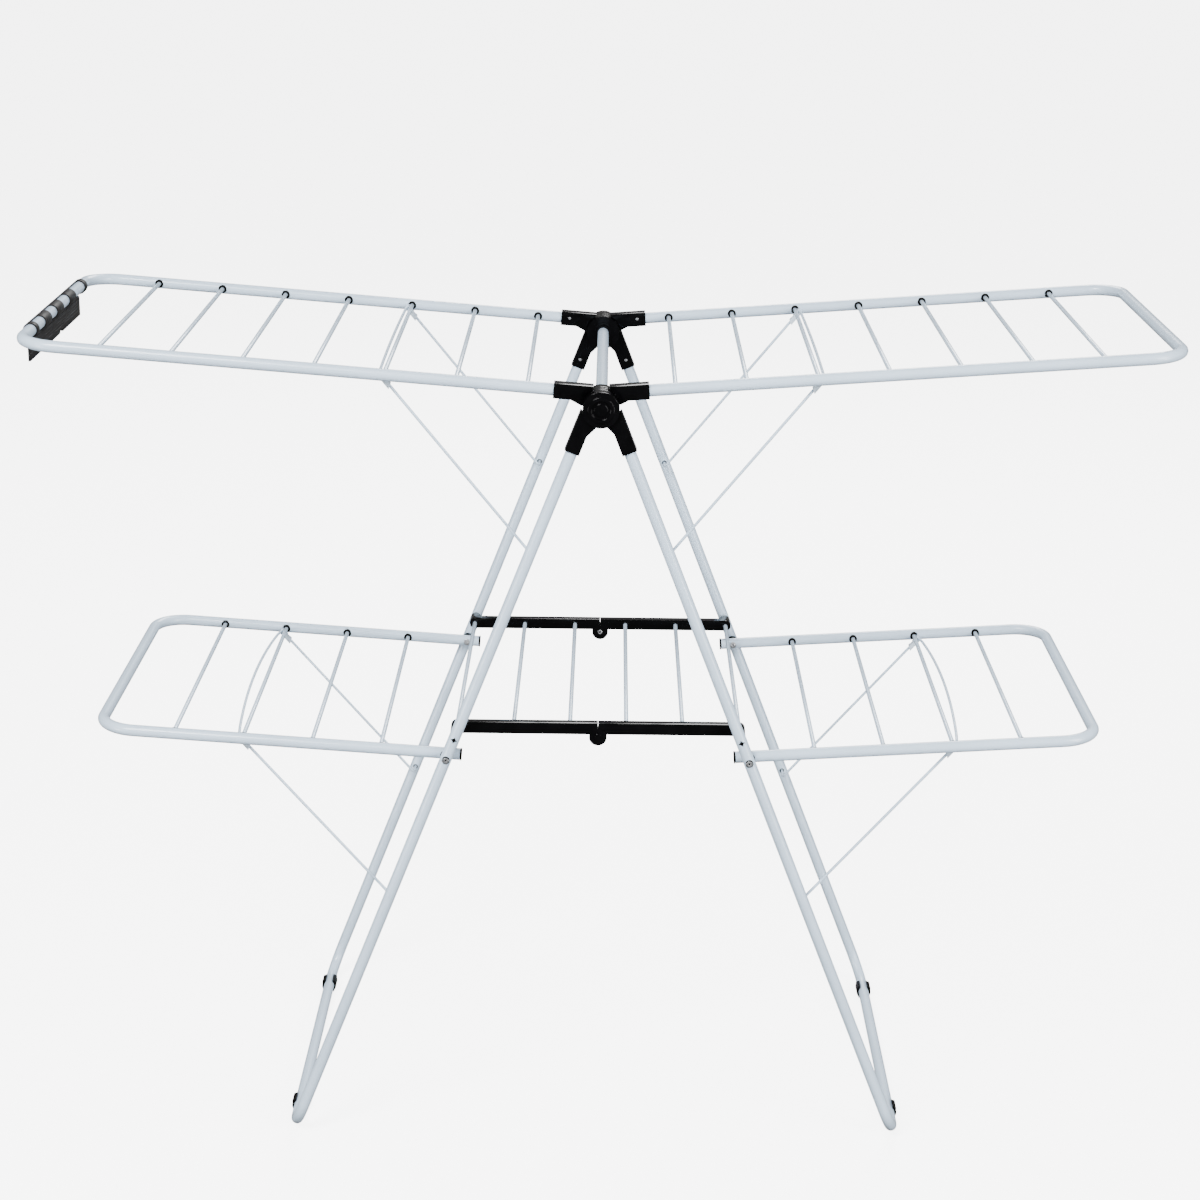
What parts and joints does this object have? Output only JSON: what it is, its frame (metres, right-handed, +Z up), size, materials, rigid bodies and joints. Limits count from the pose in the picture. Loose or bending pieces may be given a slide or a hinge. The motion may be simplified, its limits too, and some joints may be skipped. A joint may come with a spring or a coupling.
{
  "type": "clothes drying rack",
  "caption": "Folding clothes drying rack: leg frames on a top hub, upper and lower rod wings on wire struts, a folding middle shelf and a clip-on holder on one wing.",
  "frame": {"origin": "on the floor under the middle of the hub axis", "axes": "+X to the right-hand wing, +Y to the back along the hub axis, +Z up"},
  "size_m": [1.5315, 0.5526, 1.145],
  "materials": {
    "white_powder_coat": "satin powder coat",
    "black_plastic": "gloss moulded",
    "zinc_steel": "zinc plated"
  },
  "bodies": {
    "hub": {"top_bar": "white_powder_coat", "front_hub_flange": "black_plastic", "front_hub_cap": "black_plastic", "rear_hub_flange": "black_plastic", "rear_hub_cap": "black_plastic"},
    "left_leg": {"left_leg_frame": "white_powder_coat", "left_front_leg_arm": "black_plastic", "left_front_foot_clip": "black_plastic", "left_front_pivot_bolt": "zinc_steel", "left_rear_leg_arm": "black_plastic", "left_rear_foot_clip": "black_plastic", "left_rear_pivot_bolt": "zinc_steel"},
    "left_upper_wing": {"left_upper_wing_frame": "white_powder_coat", "left_front_wing_arm": "black_plastic", "left_rear_wing_arm": "black_plastic", "left_upper_rod_1": "white_powder_coat", "left_upper_rod_2": "white_powder_coat", "left_upper_rod_3": "white_powder_coat", "left_upper_rod_4": "white_powder_coat", "left_upper_rod_5": "white_powder_coat", "left_upper_rod_6": "white_powder_coat", "left_upper_rod_7": "white_powder_coat", "clip_on_holder": "black_plastic"},
    "left_upper_strut": {"left_upper_strut": "white_powder_coat"},
    "left_lower_wing": {"left_lower_wing_frame": "white_powder_coat", "left_front_end_cap": "black_plastic", "left_rear_end_cap": "black_plastic"},
    "left_lower_strut": {"left_lower_strut": "white_powder_coat"},
    "left_shelf": {"left_front_shelf_rail": "black_plastic", "left_rear_shelf_rail": "black_plastic", "left_shelf_rod_1": "white_powder_coat", "left_shelf_rod_2": "white_powder_coat", "left_shelf_rod_3": "white_powder_coat"},
    "right_leg": {"right_leg_frame": "white_powder_coat", "right_front_leg_arm": "black_plastic", "right_front_foot_clip": "black_plastic", "right_front_pivot_bolt": "zinc_steel", "right_rear_leg_arm": "black_plastic", "right_rear_foot_clip": "black_plastic", "right_rear_pivot_bolt": "zinc_steel"},
    "right_upper_wing": {"right_upper_wing_frame": "white_powder_coat", "right_front_wing_arm": "black_plastic", "right_rear_wing_arm": "black_plastic", "right_upper_rod_1": "white_powder_coat", "right_upper_rod_2": "white_powder_coat", "right_upper_rod_3": "white_powder_coat", "right_upper_rod_4": "white_powder_coat", "right_upper_rod_5": "white_powder_coat", "right_upper_rod_6": "white_powder_coat", "right_upper_rod_7": "white_powder_coat"},
    "right_upper_strut": {"right_upper_strut": "white_powder_coat"},
    "right_lower_wing": {"right_lower_wing_frame": "white_powder_coat", "right_front_end_cap": "black_plastic", "right_rear_end_cap": "black_plastic"},
    "right_lower_strut": {"right_lower_strut": "white_powder_coat"},
    "right_shelf": {"right_front_shelf_rail": "black_plastic", "right_rear_shelf_rail": "black_plastic", "right_shelf_rod_1": "white_powder_coat", "right_shelf_rod_2": "white_powder_coat", "right_shelf_rod_3": "white_powder_coat"}
  },
  "joints": [
    {"name": "left_leg_fold", "type": "hinge", "parent": "hub", "child": "left_leg", "pos_m": [0, 0, 1.063], "axis": [0, -1, 0], "range_deg": [0, 20]},
    {"name": "right_leg_fold", "type": "hinge", "parent": "hub", "child": "right_leg", "pos_m": [0, 0, 1.063], "axis": [0, 1, 0], "range_deg": [0, 20]},
    {"name": "left_shelf_fold", "type": "hinge", "parent": "left_leg", "child": "left_shelf", "pos_m": [-0.1915, 0, 0.6112], "axis": [0, -1, 0], "range_deg": [0, 66.02]},
    {"name": "shelf_knuckle_fold", "type": "hinge", "parent": "left_shelf", "child": "right_shelf", "pos_m": [0, 0, 0.5992], "axis": [0, 1, 0], "range_deg": [0, 171.99]},
    {"name": "left_upper_wing_fold", "type": "hinge", "parent": "left_leg", "child": "left_upper_wing", "pos_m": [0, 0, 1.063], "axis": [0, -1, 0], "range_deg": [0, 66.6]},
    {"name": "left_upper_strut_fold", "type": "hinge", "parent": "left_leg", "child": "left_upper_strut", "pos_m": [-0.09432, 0, 0.85935], "axis": [0, -1, 0], "range_deg": [0, 116.62]},
    {"name": "left_lower_wing_fold", "type": "hinge", "parent": "left_leg", "child": "left_lower_wing", "pos_m": [-0.20453, 0, 0.57668], "axis": [0, -1, 0], "range_deg": [0, 68.55]},
    {"name": "left_lower_strut_fold", "type": "hinge", "parent": "left_leg", "child": "left_lower_strut", "pos_m": [-0.28793, 0, 0.36276], "axis": [0, -1, 0], "range_deg": [0, 114.76]},
    {"name": "right_upper_wing_fold", "type": "hinge", "parent": "right_leg", "child": "right_upper_wing", "pos_m": [0, 0, 1.063], "axis": [0, 1, 0], "range_deg": [0, 66.6]},
    {"name": "right_upper_strut_fold", "type": "hinge", "parent": "right_leg", "child": "right_upper_strut", "pos_m": [0.09432, 0, 0.85935], "axis": [0, 1, 0], "range_deg": [0, 116.62]},
    {"name": "right_lower_wing_fold", "type": "hinge", "parent": "right_leg", "child": "right_lower_wing", "pos_m": [0.20453, 0, 0.57668], "axis": [0, 1, 0], "range_deg": [0, 68.55]},
    {"name": "right_lower_strut_fold", "type": "hinge", "parent": "right_leg", "child": "right_lower_strut", "pos_m": [0.28793, 0, 0.36276], "axis": [0, 1, 0], "range_deg": [0, 114.76]}
  ],
  "couplings": [
    {"joint": "right_leg_fold", "follows": "left_leg_fold", "ratio": 1},
    {"joint": "left_shelf_fold", "follows": "left_leg_fold", "ratio": 3.2985},
    {"joint": "shelf_knuckle_fold", "follows": "left_leg_fold", "ratio": 8.5971},
    {"joint": "left_upper_strut_fold", "follows": "left_upper_wing_fold", "ratio": 1.7503},
    {"joint": "left_lower_wing_fold", "follows": "left_upper_wing_fold", "ratio": 1.0285},
    {"joint": "left_lower_strut_fold", "follows": "left_upper_wing_fold", "ratio": 1.7223},
    {"joint": "right_upper_strut_fold", "follows": "right_upper_wing_fold", "ratio": 1.7503},
    {"joint": "right_lower_wing_fold", "follows": "right_upper_wing_fold", "ratio": 1.0285},
    {"joint": "right_lower_strut_fold", "follows": "right_upper_wing_fold", "ratio": 1.7223}
  ]
}
